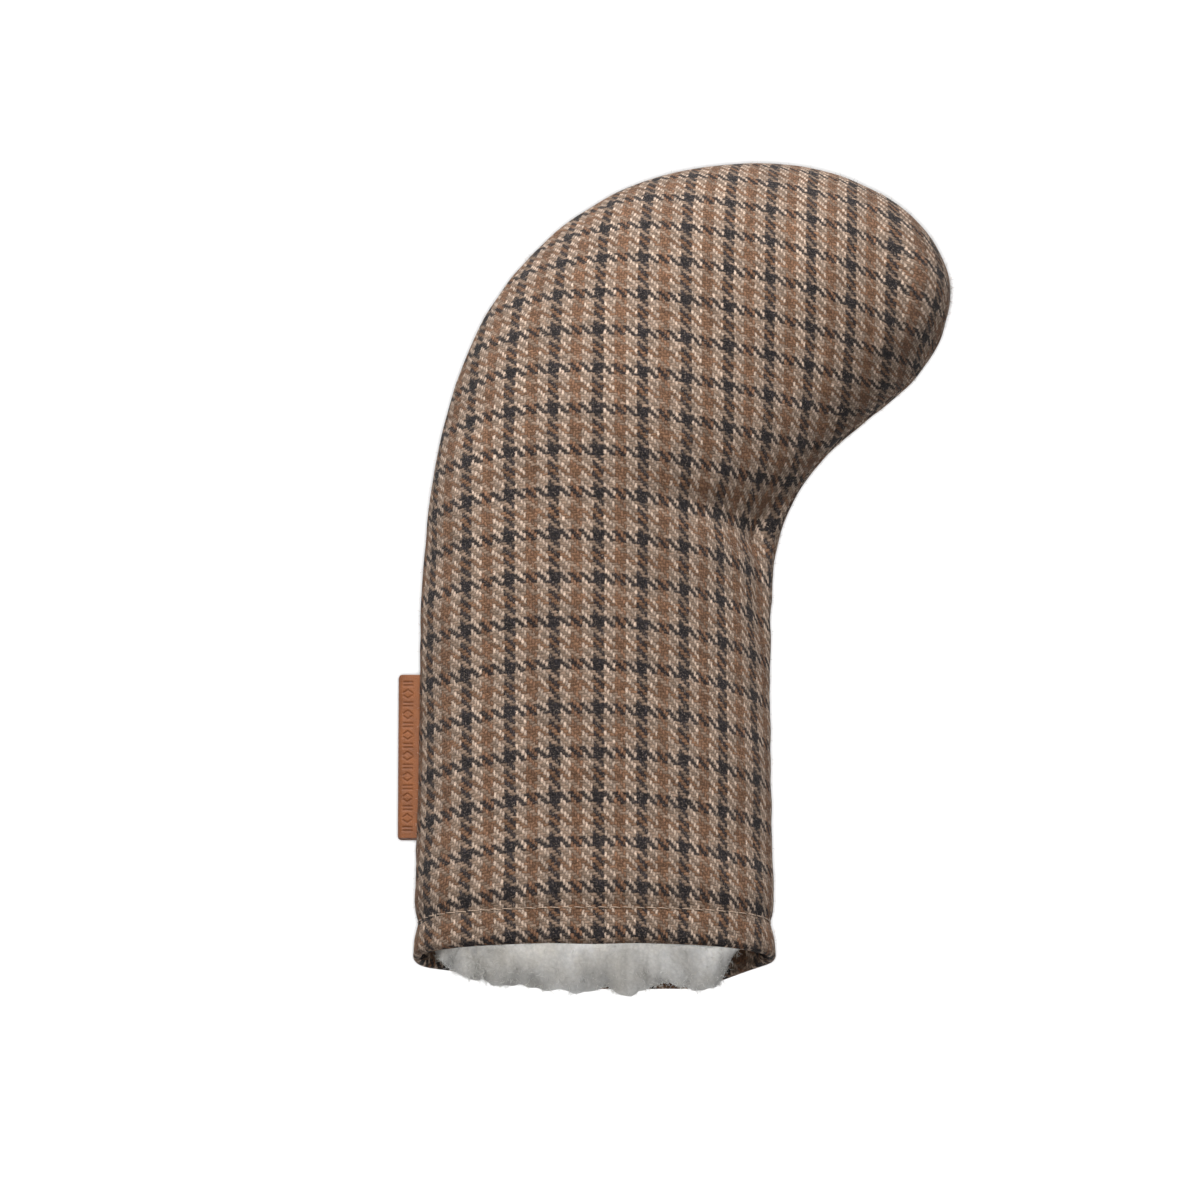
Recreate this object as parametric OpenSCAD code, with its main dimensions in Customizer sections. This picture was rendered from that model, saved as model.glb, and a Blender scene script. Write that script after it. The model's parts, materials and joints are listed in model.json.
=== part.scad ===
// Sock-style putter head cover: two tweed panels sewn along a boot-shaped outline, thin wadding,
// a pile lining, a topstitched hem at the mouth and a folded leather tag in the side seam.
// It lies on its back panel: +X towards the toe, +Y towards the closed end, +Z up.
// The origin is on the resting plane, under the middle of the cover's bounding box.

/* [Outline] */
// Flat width of the straight sleeve
sleeve_w = 99; // [92:1:106]
// How far each side flares out at the mouth
mouth_flare = 1.5; // [0:0.5:2.5]
// Length of the straight part of the back edge
sleeve_l = 89; // [82:1:96]
// Length from the rim to the closed end
cover_l = 232; // [226:0.5:238]
// Distance from the sleeve's middle line to the end of the toe
toe_reach = 102; // [97:1:107]
// Height of the end of the toe above the rim
toe_h = 195; // [191:1:199]

/* [Thickness] */
// Rise of the front panel above the side seam
front_rise = 25; // [22:0.5:28]
// Extra rise of the front panel over the bulb
bulb_rise = 6; // [0:0.5:8]
// Drop of the back panel below the side seam
back_drop = 25; // [23:0.5:28]
// Height of the side seam above the resting plane
seam_h = 22; // [20:0.5:22.5]
// Half width at which a cross-section reaches its full thickness
full_half_w = 40; // [34:1:44]
// Roundness of the sleeve's cross-section, from 0.5 boxy to 1 elliptical
roundness = 0.8; // [0.7:0.05:1]
// Roundness of the bulb's cross-section
bulb_roundness = 1; // [0.8:0.05:1]

/* [Layers] */
// Thickness of the tweed
tweed_t = 1.6; // [1.2:0.1:2]
// Thickness of the wadding, and of the turned-in hem that replaces it at the mouth
padding_t = 2; // [1.5:0.1:2.5]
// Thickness of the pile lining
lining_t = 5; // [4:0.5:6]
// Gap between front and back halves, filled by the seams
seam_gap = 0.8; // [0.6:0.1:1]
// How far the front lining sits inside the rim
lining_recess = 2; // [1:0.5:3]
// How far the back lining spills out past the rim
lining_spill = 3; // [1:0.5:4]

/* [Hem] */
// Distance of the topstitching from the rim
stitch_from_rim = 10; // [8:0.5:12]
// Depth of the valley that the topstitching pulls in
stitch_pinch = 0.9; // [0.6:0.1:1.4]
// Number of topstitches along each flat of a panel
stitches_per_flat = 2; // [1:1:3]
// Diameter of the topstitching thread
thread_d = 0.5; // [0.3:0.1:0.6]

/* [Tag] */
// Length of the leather tag along the seam
tag_l = 48; // [43:1:50]
// Distance of the tag's lower end from the rim
tag_from_rim = 34.5; // [30:0.5:38]
// How far the folded tag stands out of the seam
tag_proud = 6; // [5:0.5:7]
// Thickness across the fold
tag_fold_t = 3; // [2.6:0.2:3.4]
// How far the tag's ends reach into the seam
tag_root_l = 7; // [6:0.5:8]
// Number of tack stitches through the tag's ends
tack_count = 6; // [4:1:8]

/* [Hidden] */

tweed = "#8a7362";
tweed_dark = "#3d342f";
wadding = "#e3ddd0";
fleece = "#d8d6ce";
thread = "#b89b78";
leather = "#a8713f";

half_w = sleeve_w / 2;
flare_l = 60;                     // height at which the flare has died out
crest_x = 48;                     // where the closed end is highest
back_pull = [-half_w, 178];       // handles of the long curve from the sleeve's back edge to the crest
crest_pull = -23;
toe_pull = 79;                    // handle of the curve from the crest to the end of the toe
toe_round = 16;                   // length of the handles above and below the end of the toe
toe_under = 20;
bend_start = [half_w + 0.5, 103]; // end of the straight part of the inner edge
bend_pull = [half_w + 1.1, 126];
bend = [72.5, 153];               // middle of the inner bend
bend_dir = [15, 13];              // direction of the outline there
waist = 0.3;                      // how far the inner edge draws in above the flare
front = 1;
back = -1;

// Each edge is three Bezier curves: along the sleeve, round the bend, and round the toe
left_edge = [
    [[-half_w - mouth_flare, 0], [-half_w - mouth_flare / 3, flare_l / 2], [-half_w, flare_l], [-half_w, sleeve_l]],
    [[-half_w, sleeve_l], back_pull, [crest_pull, cover_l], [crest_x, cover_l]],
    [[crest_x, cover_l], [toe_pull, cover_l], [toe_reach, toe_h + toe_round], [toe_reach, toe_h]]];
right_edge = [
    [[half_w + mouth_flare, 0], [half_w + mouth_flare / 3, flare_l / 2], [half_w - waist, flare_l], bend_start],
    [bend_start, bend_pull, bend - bend_dir, bend],
    [bend, bend + 0.75 * bend_dir, [toe_reach, toe_h - toe_under], [toe_reach, toe_h]]];

// Stations along the cover, from 0 at the rim to almost 3 at the end of the toe
rim_rate = 3 * flare_l / 2;       // millimetres of sleeve per unit of station, near the rim
hem_steps = 6;                    // stations from the rim to twice the stitching's distance
sleeve_steps = 6;
bend_steps = 10;
toe_steps = 12;
toe_end = 2.985;
hem_top = 2 * stitch_from_rim / rim_rate;
stations = [
    for (i = [0:hem_steps - 1]) hem_top * i / hem_steps,
    for (i = [0:sleeve_steps - 1]) hem_top + (1 - hem_top) * i / sleeve_steps,
    for (i = [0:bend_steps - 1]) 1 + i / bend_steps,
    for (i = [0:toe_steps]) 2 + (toe_end - 2) * sin(90 * i / toe_steps)];
hem_stations = 5;                 // stations that the turned-in hem covers, past the stitching
across = 14;                      // divisions across a panel

hem_end = stations[hem_stations]; // where the turned-in hem has ended and the wadding starts
wadding_stations = [for (s = stations) if (s >= hem_end) s];
lining_depth = tweed_t + padding_t;
allowance_depth = lining_depth + lining_t - 2;

// The two edges, as routes of seams
tag_clear = 0.6;                  // room between the tag's ends and the seams beside it
under_tag = station_at(tag_from_rim - tag_clear);
over_tag = station_at(tag_from_rim + tag_l + tag_clear);
right_side = [for (i = [len(stations) - 1:-1:0]) [1, stations[i]]];
all_round = concat([for (s = stations) [0, s]], right_side);
below_tag = concat([for (s = stations) if (s < under_tag - 0.01) [0, s]], [[0, under_tag]]);
above_tag = concat([[0, over_tag]], [for (s = stations) if (s > over_tag + 0.01) [0, s]], right_side);

stitch_lift = 0.04;               // clearance of the topstitching from the tweed

// The tag bends about a straight line just outside the seam
leather_t = 1.1;                  // thickness of the leather strip
leaf_t = 0.3;                     // half thickness of the pressed strip at the hinge line
hinge_gap = 0.1;                  // the flap starts this far outside the hinge line
root_gap = 0.5;                   // the root starts this far inside the hinge line
tag_y0 = edge_point(left_edge, station_at(tag_from_rim)).y;
tag_y1 = edge_point(left_edge, station_at(tag_from_rim + tag_l)).y;
hinge_x = edge_point(left_edge, station_at(tag_from_rim)).x - hinge_gap - root_gap;
tag_tip = hinge_x + half_w + tag_proud;

// Place of the whole cover relative to the origin
centre_x = (toe_reach - half_w - tag_proud) / 2;
centre_y = (cover_l - lining_spill) / 2;
to_origin = [-centre_x, -centre_y, 0];

function bezier(p, t) =
    pow(1 - t, 3) * p[0] + 3 * pow(1 - t, 2) * t * p[1] + 3 * (1 - t) * t * t * p[2] + pow(t, 3) * p[3];
function bezier_dir(p, t) =
    let (d = pow(1 - t, 2) * (p[1] - p[0]) + 2 * (1 - t) * t * (p[2] - p[1]) + t * t * (p[3] - p[2]))
    d / norm(d);
function part_of(s) = max(0, min(2, floor(s)));
function edge_point(edge, s) = bezier(edge[part_of(s)], s - part_of(s));
function edge_dir(edge, s) = bezier_dir(edge[part_of(s)], s - part_of(s));

// Extra depth of every layer where the topstitching pulls the hem in
function pinch(y) = stitch_pinch * exp(-pow((y - stitch_from_rim) / 3.5, 2));

// Points on the two edges, moved in from the outline by a depth
function left_at(s, depth) =
    let (p = edge_point(left_edge, s), d = edge_dir(left_edge, s))
    p + (depth + pinch(p.y)) * [d.y, -d.x];
function right_at(s, depth) =
    let (p = edge_point(right_edge, s), d = edge_dir(right_edge, s))
    p + (depth + pinch(p.y)) * [-d.y, d.x];

// How much of the bulb's shape a cross-section has: none in the sleeve, all of it past the bend
function bulb_part(s) = let (t = max(0, min(1, s - 0.8))) t * t * (3 - 2 * t);

// Thickness grows with the width of the cross-section until the section is full
function fullness(half_chord, depth) = sin(90 * min(1, half_chord / (full_half_w - depth)));

// A point of the surface that lies at a depth below the outside: side is front or back, a runs from
// 0 at the left edge to 180 at the right edge, and the back is flat where it rests
function skin(s, a, side, depth) =
    let (l = left_at(s, depth),
         r = right_at(s, depth),
         xy = l + (r - l) * (1 - cos(a)) / 2,
         full = fullness(norm(r - l) / 2, depth),
         sunk = depth + pinch(l.y),
         most = side == front ? front_rise + bulb_rise * bulb_part(s) : back_drop,
         tall = most - sunk - seam_gap / 2,
         round = roundness + (bulb_roundness - roundness) * (side == front ? bulb_part(s) : 0),
         z = seam_h + side * (seam_gap / 2 + tall * full * pow(sin(a), round)))
    [xy.x, xy.y, max(z, sunk)];

// Height above the rim, as a station of the sleeve
function station_at(y) = y / rim_rate;

// The stations from a height above or past the rim to the toe
function stations_from(y) =
    concat([station_at(y)], [for (s = stations) if (s > station_at(y) + 0.01) s]);

// A sheet between an outer and an inner depth along the given stations, closed along its edges;
// where the hem is turned in, its inner face is deeper by hem
module sheet(side, outer, inner, used, hem = 0) {
    n = len(used);
    m = across + 1;
    points = [
        for (i = [0:n - 1]) for (j = [0:across])
            skin(used[i], 180 * j / across, side, outer),
        for (i = [0:n - 1]) for (j = [0:across])
            skin(used[i], 180 * j / across, side, inner + (i < hem_stations ? hem : 0))];
    // both faces are split along the same diagonals, so that neighbouring layers meet exactly
    outside = [for (i = [0:n - 2]) for (j = [0:across - 1]) for (t = [[0, 1, m + 1], [0, m + 1, m]])
        [for (k = t) i * m + j + k]];
    inside = [for (t = outside) [for (k = flipped(t)) k + n * m]];
    left = [for (i = [0:n - 2]) [i * m, (i + 1) * m, (i + 1) * m + n * m, i * m + n * m]];
    right = [for (q = left) [for (k = flipped(q)) k + across]];
    mouth = [for (j = [0:across - 1]) [j + 1, j, j + n * m, j + 1 + n * m]];
    toe = [for (q = mouth) [for (k = flipped(q)) k + (n - 1) * m]];
    faces = concat(outside, inside, left, right, mouth, toe);
    polyhedron(points, side == front ? [for (f = faces) flipped(f)] : faces, convexity = 8);
}

function flipped(f) = [for (k = [len(f) - 1:-1:0]) f[k]];

// A flat band in the gap between the halves, between two depths; each stop of the route is an edge,
// 0 for left or 1 for right, and a station
module seam_band(outer, inner, route) {
    outer_side = [for (q = route) q[0] == 0 ? left_at(q[1], outer) : right_at(q[1], outer)];
    inner_side = [for (q = route) q[0] == 0 ? left_at(q[1], inner) : right_at(q[1], inner)];
    last = len(route) - 1;
    translate([0, 0, seam_h - seam_gap / 2]) linear_extrude(seam_gap)
        polygon(concat(outer_side, [for (k = [last:-1:0]) inner_side[k]]));
}

// Panels of the outer cover
module shell_front() {
    color(tweed) sheet(front, 0, tweed_t, stations, hem = padding_t);
}

module shell_back() {
    color(tweed_dark) sheet(back, 0, tweed_t, stations, hem = padding_t);
}

// Wadding, which starts where the turned-in hem ends
module padding_front() {
    color(wadding) sheet(front, tweed_t, tweed_t + padding_t, wadding_stations);
}

module padding_back() {
    color(wadding) sheet(back, tweed_t, tweed_t + padding_t, wadding_stations);
}

// Pile lining
module lining_front() {
    color(fleece) sheet(front, lining_depth, lining_depth + lining_t, stations_from(lining_recess));
}

module lining_back() {
    color(fleece) sheet(back, lining_depth, lining_depth + lining_t, stations_from(-lining_spill));
}

// Thread that joins the two tweed panels, broken where the tag is caught
module closing_seam() {
    color(thread) {
        seam_band(0.3, tweed_t - 0.3, below_tag);
        seam_band(0.3, tweed_t - 0.3, above_tag);
    }
}

// Raw edges of the panels, pressed together inside the seam
module seam_allowance() {
    color(tweed_dark) {
        seam_band(tweed_t, allowance_depth, below_tag);
        seam_band(tweed_t, allowance_depth, above_tag);
    }
}

// Thread that joins the two lining panels
module lining_seam() {
    color(thread) seam_band(lining_depth + lining_t - 1.5, lining_depth + lining_t - 0.5, all_round);
}

// A thread that lies just clear of the line from p to q of a panel, from part f0 to part f1 of it
module surface_stitch(p, q, f0, f1, side) {
    run = q - p;
    out = side * [-run.z, 0, run.x] / norm([run.x, 0, run.z]);
    translate(p + f0 * run + (thread_d / 2 + stitch_lift) * out)
        rotate([0, acos(run.z / norm(run)), atan2(run.y, run.x)])
            cylinder(h = (f1 - f0) * norm(run), d = thread_d, $fn = 24);
}

// Topstitching round the mouth, in its valley, over every flat that the panels are made of
module hem_topstitch() {
    s = station_at(stitch_from_rim);
    pitch = 1 / stitches_per_flat;
    color(thread)
        for (side = [front, back]) for (j = [0:across - 1]) for (k = [0:stitches_per_flat - 1])
            surface_stitch(skin(s, 180 * j / across, side, 0), skin(s, 180 * (j + 1) / across, side, 0),
                           (k + 0.15) * pitch, (k + 0.85) * pitch, side);
}

// Profile of the folded strip, thin where it leaves the seam and round at the fold, standing along -X
// from the hinge line, with the eye of the fold left open
module fold_profile() {
    r = tag_fold_t / 2;
    middle = r - tag_tip;
    fold = [for (k = [0:16]) let (a = 90 + 180 * k / 16) [middle + r * cos(a), r * sin(a)]];
    difference() {
        polygon(concat([[-hinge_gap, leaf_t]], fold, [[-hinge_gap, -leaf_t]]));
        translate([middle, 0]) circle(r - leather_t, $fn = 48);
    }
}

// The part of the tag that stands out of the seam
module tag_flap() {
    color(leather)
        translate([hinge_x, tag_y0, seam_h]) rotate([90, 0, 0]) mirror([0, 0, 1])
            linear_extrude(tag_y1 - tag_y0) fold_profile();
}

// The two ends of the tag, pressed flat inside the seam, with needle holes
module tag_root() {
    s0 = station_at(tag_from_rim);
    s1 = station_at(tag_from_rim + tag_l);
    color(leather) difference() {
        translate([0, 0, seam_h - seam_gap / 2]) linear_extrude(seam_gap)
            polygon([[hinge_x + root_gap, tag_y0], [hinge_x + root_gap, tag_y1],
                     left_at(s1, tag_root_l), left_at(s0, tag_root_l)]);
        tack_thread(1);
    }
}

module tack_thread(over = 0) {
    for (k = [0:tack_count - 1]) {
        s = station_at(tag_from_rim + tag_l * (k + 0.5) / tack_count);
        translate(concat(left_at(s, tweed_t / 2), [seam_h - seam_gap / 2 - over]))
            cylinder(h = seam_gap + 2 * over, d = thread_d, $fn = 24);
    }
}

// Stitches of the closing seam where it passes through the leather
module tag_tack() {
    color(thread) tack_thread();
}

translate(to_origin) shell_front();
translate(to_origin) shell_back();
translate(to_origin) padding_front();
translate(to_origin) padding_back();
translate(to_origin) lining_front();
translate(to_origin) lining_back();
translate(to_origin) closing_seam();
translate(to_origin) seam_allowance();
translate(to_origin) lining_seam();
translate(to_origin) hem_topstitch();
translate(to_origin) tag_flap();
translate(to_origin) tag_root();
translate(to_origin) tag_tack();
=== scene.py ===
"""Looks of a sock-style putter head cover: checked tweed over wadding, pile lining, stitches and leather tag.

The outline below repeats the CAD source's own curves, in millimetres from the middle of the rim, with the
cover lying on z = 0. place() turns those into metres in the shared frame.
"""

import itertools
import json
import math

import bpy
import numpy as np
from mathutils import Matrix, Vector
from numpy.linalg import norm


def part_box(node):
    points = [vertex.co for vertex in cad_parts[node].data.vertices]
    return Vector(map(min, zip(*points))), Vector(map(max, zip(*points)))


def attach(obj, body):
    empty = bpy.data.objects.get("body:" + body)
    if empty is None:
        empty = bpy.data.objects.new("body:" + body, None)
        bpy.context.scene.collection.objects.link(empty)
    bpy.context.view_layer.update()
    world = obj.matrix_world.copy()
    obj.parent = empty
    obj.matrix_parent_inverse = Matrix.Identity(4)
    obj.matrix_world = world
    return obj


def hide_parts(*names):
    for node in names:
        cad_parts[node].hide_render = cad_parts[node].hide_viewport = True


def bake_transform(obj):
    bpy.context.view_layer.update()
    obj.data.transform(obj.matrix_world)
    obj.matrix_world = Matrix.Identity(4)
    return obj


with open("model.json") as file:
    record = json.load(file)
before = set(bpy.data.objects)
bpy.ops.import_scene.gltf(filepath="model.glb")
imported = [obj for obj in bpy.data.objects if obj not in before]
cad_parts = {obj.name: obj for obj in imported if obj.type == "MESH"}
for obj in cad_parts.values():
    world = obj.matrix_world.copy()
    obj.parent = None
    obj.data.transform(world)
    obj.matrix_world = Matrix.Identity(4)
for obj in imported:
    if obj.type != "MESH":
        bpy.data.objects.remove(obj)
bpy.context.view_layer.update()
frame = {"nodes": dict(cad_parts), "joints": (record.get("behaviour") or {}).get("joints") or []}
scene = bpy.context.scene

# ---------------------------------------------------------------- the cover's outline, in millimetres

SLEEVE_HALF = 49.5
MOUTH_FLARE = 1.5
COVER_LENGTH = 232.0
TOE_REACH = 102.0
TOE_HEIGHT = 195.0
SEAM_HEIGHT = 22.0
FRONT_RISE = 25.0
BULB_RISE = 6.0
BACK_DROP = 25.0
FULL_HALF_WIDTH = 40.0
SEAM_GAP = 0.8
BULB_STATIONS = (0.8, 1.8)  # over these the front swells from sleeve to toe
SLEEVE_ROUNDNESS = 0.8  # 1 is an ellipse, less is fuller
STITCH_ROW = 10.0
STITCH_PITCH = 3.4
STITCH_PINCH = 0.9
PINCH_WIDTH = 3.5
TWEED_DEPTH = 1.6
LINING_DEPTH = 3.6
PILE_DEPTH = 8.6
LINING_RECESS = 2.0

BEND = np.array([72.5, 153.0])
BEND_REACH = np.array([15.0, 13.0])
RIM_HALF = SLEEVE_HALF + MOUTH_FLARE
FLARE_HALF = SLEEVE_HALF + MOUTH_FLARE / 3
LEFT_EDGE = np.array(
    [
        [(-RIM_HALF, 0), (-FLARE_HALF, 30), (-SLEEVE_HALF, 60), (-SLEEVE_HALF, 89)],
        [(-SLEEVE_HALF, 89), (-SLEEVE_HALF, 178), (-23, COVER_LENGTH), (48, COVER_LENGTH)],
        [(48, COVER_LENGTH), (79, COVER_LENGTH), (TOE_REACH, TOE_HEIGHT + 16), (TOE_REACH, TOE_HEIGHT)],
    ]
)
RIGHT_EDGE = np.array(
    [
        [(RIM_HALF, 0), (FLARE_HALF, 30), (SLEEVE_HALF - 0.3, 60), (SLEEVE_HALF + 0.5, 103)],
        [(SLEEVE_HALF + 0.5, 103), (SLEEVE_HALF + 1.1, 126), BEND - BEND_REACH, BEND],
        [BEND, BEND + 0.75 * BEND_REACH, (TOE_REACH, TOE_HEIGHT - 20), (TOE_REACH, TOE_HEIGHT)],
    ]
)
LAST_STATION = 2.998  # the two edges meet at station 3

tweed_low, tweed_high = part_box("shell_front")
tag_low, tag_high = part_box("tag_flap")
CENTRE = np.array([TOE_REACH - tweed_high.x * 1000, -tweed_low.y * 1000, 0.0])


def place(points):
    """Points in millimetres from the middle of the rim, as metres in the shared frame."""
    return (np.asarray(points, float) - CENTRE) / 1000


def along(curve, stations):
    """Points and unit directions on an edge of three Bezier curves."""
    piece = np.clip(np.floor(stations).astype(int), 0, 2)
    t = (stations - piece)[:, None]
    a, b, c, d = np.moveaxis(curve[piece], 1, 0)
    point = (1 - t) ** 3 * a + 3 * (1 - t) ** 2 * t * b + 3 * (1 - t) * t * t * c + t**3 * d
    way = (1 - t) ** 2 * (b - a) + 2 * (1 - t) * t * (c - b) + t * t * (d - c)
    return point, way / norm(way, axis=1, keepdims=True)


def step_between(low, high, x):
    """0 up to low, 1 past high and smooth between; the other way round where low is the larger."""
    t = np.clip((x - low) / (high - low), 0, 1)
    return t * t * (3 - 2 * t)


def hump(x, width):
    return np.exp(-((x / width) ** 2))


def skin(stations, turns, side, depth=0.0):
    """Rows across one panel, from the left seam (turn 0) to the right one (turn 180), depth mm under the
    cloth. side is 1 for the front panel and -1 for the back one."""
    stations = np.asarray(stations, float)
    depth = np.broadcast_to(np.asarray(depth, float), stations.shape)
    left, left_way = along(LEFT_EDGE, stations)
    right, right_way = along(RIGHT_EDGE, stations)
    sunk_left = depth + STITCH_PINCH * hump(left[:, 1] - STITCH_ROW, PINCH_WIDTH)
    sunk_right = depth + STITCH_PINCH * hump(right[:, 1] - STITCH_ROW, PINCH_WIDTH)
    left = left + sunk_left[:, None] * np.c_[left_way[:, 1], -left_way[:, 0]]
    right = right + sunk_right[:, None] * np.c_[-right_way[:, 1], right_way[:, 0]]
    half_chord = norm(right - left, axis=1) / 2
    full = np.sin(math.pi / 2 * np.minimum(1, half_chord / (FULL_HALF_WIDTH - depth)))
    in_bulb = step_between(*BULB_STATIONS, stations)
    rise = FRONT_RISE + BULB_RISE * in_bulb if side > 0 else BACK_DROP
    tall = (rise - sunk_left - SEAM_GAP / 2) * full
    roundness = SLEEVE_ROUNDNESS + (1 - SLEEVE_ROUNDNESS) * in_bulb * (side > 0)
    angle = np.radians(turns)[None, :]
    plan = left[:, None] + (right - left)[:, None] * ((1 - np.cos(angle)) / 2)[..., None]
    lift = tall[:, None] * np.maximum(np.sin(angle), 0) ** roundness[:, None]
    height = np.maximum(SEAM_HEIGHT + side * (SEAM_GAP / 2 + lift), sunk_left[:, None])
    return np.dstack([plan, height])


def station_at(y):
    """The station at which the left edge is y mm from the rim."""
    table = np.linspace(-0.1, 1.5, 3000)
    return np.interp(y, along(LEFT_EDGE, table)[0][:, 1], table)


def even_stations(first, spacing):
    """Stations from first to the toe, about spacing mm apart over the panel."""
    table = np.linspace(first, LAST_STATION, 1500)
    rows = skin(table, np.array([0.0, 60.0, 120.0, 180.0]), 1)
    gone = running(norm(np.diff(rows, axis=0), axis=2).mean(axis=1), 0)
    return np.interp(np.linspace(0, gone[-1], int(gone[-1] / spacing)), gone, table)


# ---------------------------------------------------------------- helpers for fields on a grid

LATTICE_SIZE = 32
LATTICE = np.random.default_rng(11).uniform(-1, 1, (LATTICE_SIZE,) * 3)


def noise(points, cell, shift=0.0):
    """Smooth noise from -1 to 1 whose lumps are about cell mm wide."""
    q = np.asarray(points, float) / cell + shift
    base = np.floor(q).astype(int)
    t = q - base
    t = t * t * (3 - 2 * t)
    total = np.zeros(q.shape[:-1])
    for corner in itertools.product((0, 1), repeat=3):
        weight = np.prod(np.where(corner, t, 1 - t), axis=-1)
        i, j, k = np.moveaxis((base + corner) % LATTICE_SIZE, -1, 0)
        total += weight * LATTICE[i, j, k]
    return total


def outward(points, side):
    """Unit normals of a grid of points, away from the inside of the cover."""
    across = np.gradient(points, axis=1)
    up = np.gradient(points, axis=0)
    n = np.cross(across, up) * side
    return n / (norm(n, axis=-1, keepdims=True) + 1e-9)


def running(steps, axis):
    """The running total of some steps along an axis, from nought."""
    return np.insert(np.cumsum(steps, axis), 0, 0, axis)


def run_along(points):
    """Millimetres along each row of a grid from its first point."""
    return running(norm(np.diff(points, axis=1), axis=2), 1)


def seam_distance(points):
    """How far each point of a grid lies from the nearer side seam, along its row."""
    run = run_along(points)
    return np.minimum(run, run[:, -1:] - run)


def resample(field, from_rows, from_cols, rows, cols):
    """A field known on one grid, read on another."""
    wide = np.array([np.interp(cols, from_cols, line) for line in field])
    return np.array([np.interp(rows, from_rows, wide[:, j]) for j in range(len(cols))]).T


def blurred(field, times):
    """A field with each value drawn towards its neighbours' mean, that many times."""
    for _ in range(times):
        padded = np.pad(field, 1, mode="edge")
        field = (padded[:-2, 1:-1] + padded[2:, 1:-1] + padded[1:-1, :-2] + padded[1:-1, 2:] + 2 * field) / 6
    return field


def mesh_object(name, points, faces, uvs=None, marks=None):
    """A smooth mesh from points in millimetres. uvs is a pair and marks are named numbers for each point."""
    mesh = bpy.data.meshes.new(name)
    metres = place(points).reshape(-1, 3)
    mesh.from_pydata([tuple(p) for p in metres], [], [tuple(int(i) for i in f) for f in faces])
    if uvs is not None:
        layer = mesh.uv_layers.new(name="Threads")
        corners = np.zeros(len(mesh.loops), np.int32)
        mesh.loops.foreach_get("vertex_index", corners)
        layer.data.foreach_set("uv", np.asarray(uvs, np.float32)[corners].ravel())
    for key, values in (marks or {}).items():
        attribute = mesh.attributes.new(key, "FLOAT", "POINT")
        attribute.data.foreach_set("value", np.asarray(values, np.float32).ravel())
    mesh.polygons.foreach_set("use_smooth", [True] * len(mesh.polygons))
    mesh.validate()
    mesh.update()
    made = bpy.data.objects.new(name, mesh)
    scene.collection.objects.link(made)
    return made


def quads_of(index, flip=False):
    """The faces of a grid whose points have these numbers."""
    corners = [index[:-1, :-1], index[:-1, 1:], index[1:, 1:], index[1:, :-1]]
    quads = np.stack(corners, axis=-1).reshape(-1, 4)
    return quads[:, ::-1] if flip else quads


def grid_faces(rows, cols, flip=False):
    return quads_of(np.arange(rows * cols).reshape(rows, cols), flip)


def tube_faces(index):
    """The faces of a tube. index is its point numbers, one ring in each row."""
    near, far = index[..., :-1, :], index[..., 1:, :]
    return np.stack([near, np.roll(near, -1, -1), np.roll(far, -1, -1), far], axis=-1).reshape(-1, 4)


# ---------------------------------------------------------------- how the sewn cloth sits

COARSE_ROWS = even_stations(0.0, 2.9)
COARSE_TURNS = np.linspace(0, 180, 47)
CLOTH_FRAMES = 20
USUAL_WRINKLE = 0.55
LARGEST_WRINKLE = 0.9
WRINKLES_FADE = (2.7, 2.93)  # stations over which the cloth runs smooth into the tip of the toe


def sewn_wrinkles():
    """Cloth simulation of both tweed panels sewn together: a slightly over-long cloth under pressure, held by
    its seams and hem, buckles into shallow wrinkles. Returns how far each panel moves outward, in mm, on the
    coarse grid."""
    front = skin(COARSE_ROWS, COARSE_TURNS, 1)
    back = skin(COARSE_ROWS, COARSE_TURNS, -1)
    rows, cols = front.shape[:2]
    front[:, [0, -1], 2] = SEAM_HEIGHT
    index = np.arange(rows * cols).reshape(rows, cols)
    under = index.copy()
    under[:, 1:-1] = rows * cols + np.arange(rows * (cols - 2)).reshape(rows, cols - 2)
    points = np.concatenate([front.reshape(-1, 3), back[:, 1:-1].reshape(-1, 3)])
    bag = mesh_object("sewn_bag", points, [*quads_of(index), *quads_of(under, True)])
    held = bag.vertex_groups.new(name="held")
    for k, p in enumerate(points):
        by_hem = 1 - step_between(13, 22, p[1])
        resting = 0.6 if p[2] < 0.5 else 0.0
        held.add([k], max(by_hem, resting), "REPLACE")
    held.add([int(k) for k in index[:, [0, -1]].ravel()], 1.0, "REPLACE")
    cloth = bag.modifiers.new("cloth", "CLOTH")
    cloth.settings.quality = 5
    cloth.settings.use_pressure = True
    cloth.settings.uniform_pressure_force = 4.0
    cloth.settings.shrink_min = -0.035
    cloth.settings.bending_stiffness = 0.4
    cloth.settings.effector_weights.gravity = 0.0
    cloth.settings.vertex_group_mass = "held"
    scene.frame_start, scene.frame_end = 1, CLOTH_FRAMES
    cloth.point_cache.frame_start, cloth.point_cache.frame_end = 1, CLOTH_FRAMES
    for number in range(1, CLOTH_FRAMES + 1):
        scene.frame_set(number)
    settled = bag.evaluated_get(bpy.context.evaluated_depsgraph_get()).to_mesh()
    moved = np.array([v.co for v in settled.vertices]) * 1000 + CENTRE - points
    scene.frame_set(1)
    bpy.data.objects.remove(bag)
    fields = []
    for grid, shape, side in ((index, front, 1), (under, back, -1)):
        proud = np.einsum("ijk,ijk->ij", moved[grid], outward(shape, side))
        waves = proud - blurred(proud, 60)
        waves *= USUAL_WRINKLE / (np.percentile(abs(waves), 95) + 1e-9)
        fields.append(blurred(np.clip(waves, -LARGEST_WRINKLE, LARGEST_WRINKLE), 1))
    return fields


wrinkles = sewn_wrinkles()

FOLD_START = np.array([22.0, 127.5])
FOLD_END = np.array([56.0, 119.0])
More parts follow.
